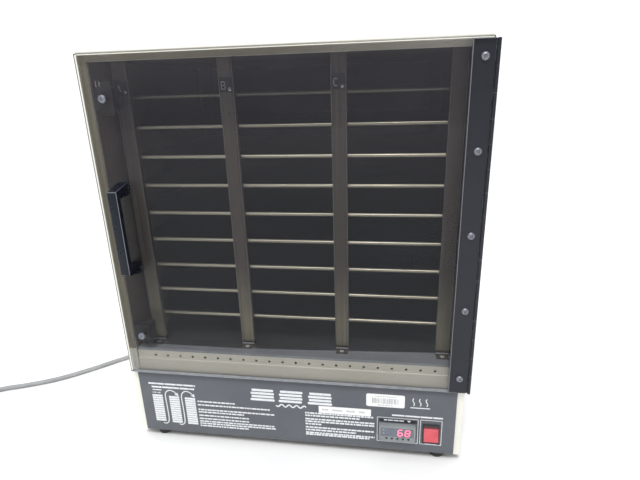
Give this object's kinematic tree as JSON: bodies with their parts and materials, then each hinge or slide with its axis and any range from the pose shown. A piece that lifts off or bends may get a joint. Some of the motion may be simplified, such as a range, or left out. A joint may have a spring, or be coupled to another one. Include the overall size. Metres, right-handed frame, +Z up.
{
  "type": "hot towel cabinet",
  "caption": "Bench-top warming cabinet with a smoked hinged door, three columns of shallow shelves, a digital temperature controller and a lit switch.",
  "frame": {"origin": "on the surface it stands on, at the middle of the cabinet's box without its cord from side to side, and 1.5 mm behind that box's middle from front to back", "axes": "+Z up, -Y out of the door's front, +X to the viewer's right, where the door's hinge is"},
  "size_m": [0.836, 0.558, 0.532],
  "materials": {
    "cream_paint": "satin",
    "slate_paint": "satin",
    "black_paint": "satin",
    "stainless": "brushed",
    "dark_steel": "satin",
    "bright_steel": "polished",
    "smoked_acrylic": "polished, transparent",
    "black_plastic": "fine satin",
    "grey_plastic": "fine satin",
    "red_lens": "lit lens",
    "display_window": "dark window",
    "rubber": "matte",
    "cord_grey": "matte"
  },
  "bodies": {
    "cabinet": {"outer_shell": "cream_paint", "front_rail": "cream_paint", "back_panel": "cream_paint", "fascia_panel": "slate_paint", "base_pan": "stainless", "floor_pan": "stainless", "liner_wrap": "stainless", "liner_top": "stainless", "rack_base": "dark_steel", "post_a": "stainless", "post_b": "stainless", "post_c": "stainless", "post_right": "stainless", "rear_rail_left": "stainless", "rear_rail_right": "stainless", "hinge_body_leaf": "black_paint", "hinge_pin": "bright_steel", "catch_top": "black_plastic", "catch_bottom": "black_plastic", "controller_case": "grey_plastic", "controller_window": "display_window", "switch_housing": "black_plastic", "foot_front_left": "rubber", "foot_front_right": "rubber", "foot_rear_left": "rubber", "foot_rear_right": "rubber", "cord_gland": "cord_grey", "power_cord": "cord_grey", "cord_coil": "cord_grey", "plug": "cord_grey", "fan_housing": "black_plastic", "heater_element": "dark_steel", "terminal_block": "grey_plastic", "temperature_probe": "bright_steel", "shelf_1": "stainless", "shelf_2": "stainless", "shelf_3": "stainless", "shelf_4": "stainless", "shelf_5": "stainless", "shelf_6": "stainless", "shelf_7": "stainless", "shelf_8": "stainless", "shelf_9": "stainless"},
    "door": {"door_panel": "smoked_acrylic", "hinge_door_leaf": "black_paint", "handle": "black_plastic", "door_strike_top": "bright_steel", "door_strike_bottom": "bright_steel", "hinge_screw_1": "black_paint", "hinge_screw_2": "black_paint", "hinge_screw_3": "black_paint", "hinge_screw_4": "black_paint", "hinge_screw_5": "black_paint"},
    "rocker": {"switch_rocker": "red_lens"},
    "impeller": {"fan_impeller": "black_plastic"},
    "key_1": {"controller_key_1": "black_plastic"},
    "key_2": {"controller_key_2": "black_plastic"},
    "key_3": {"controller_key_3": "black_plastic"},
    "key_4": {"controller_key_4": "black_plastic"},
    "key_5": {"controller_key_5": "black_plastic"}
  },
  "joints": [
    {"name": "door_hinge", "type": "hinge", "parent": "cabinet", "child": "door", "pos_m": [0.22875, -0.1658, 0.3223], "axis": [0, 0, 1], "range_deg": [0, 180]},
    {"name": "power_rocker", "type": "hinge", "parent": "cabinet", "child": "rocker", "pos_m": [0.18715, -0.1541, 0.0443], "axis": [1, 0, 0], "range_deg": [0, 16]},
    {"name": "fan_spin", "type": "hinge", "parent": "cabinet", "child": "impeller", "pos_m": [-0.00215, 0.0615, 0.13], "axis": [0, 0, 1], "continuous": true},
    {"name": "key_1_press", "type": "slide", "parent": "cabinet", "child": "key_1", "axis": [0, 1, 0], "range_m": [0, 0.0006], "stiffness_N_per_m": 300},
    {"name": "key_2_press", "type": "slide", "parent": "cabinet", "child": "key_2", "axis": [0, 1, 0], "range_m": [0, 0.0006], "stiffness_N_per_m": 300},
    {"name": "key_3_press", "type": "slide", "parent": "cabinet", "child": "key_3", "axis": [0, 1, 0], "range_m": [0, 0.0006], "stiffness_N_per_m": 300},
    {"name": "key_4_press", "type": "slide", "parent": "cabinet", "child": "key_4", "axis": [0, 1, 0], "range_m": [0, 0.0006], "stiffness_N_per_m": 300},
    {"name": "key_5_press", "type": "slide", "parent": "cabinet", "child": "key_5", "axis": [0, 1, 0], "range_m": [0, 0.0006], "stiffness_N_per_m": 300}
  ]
}
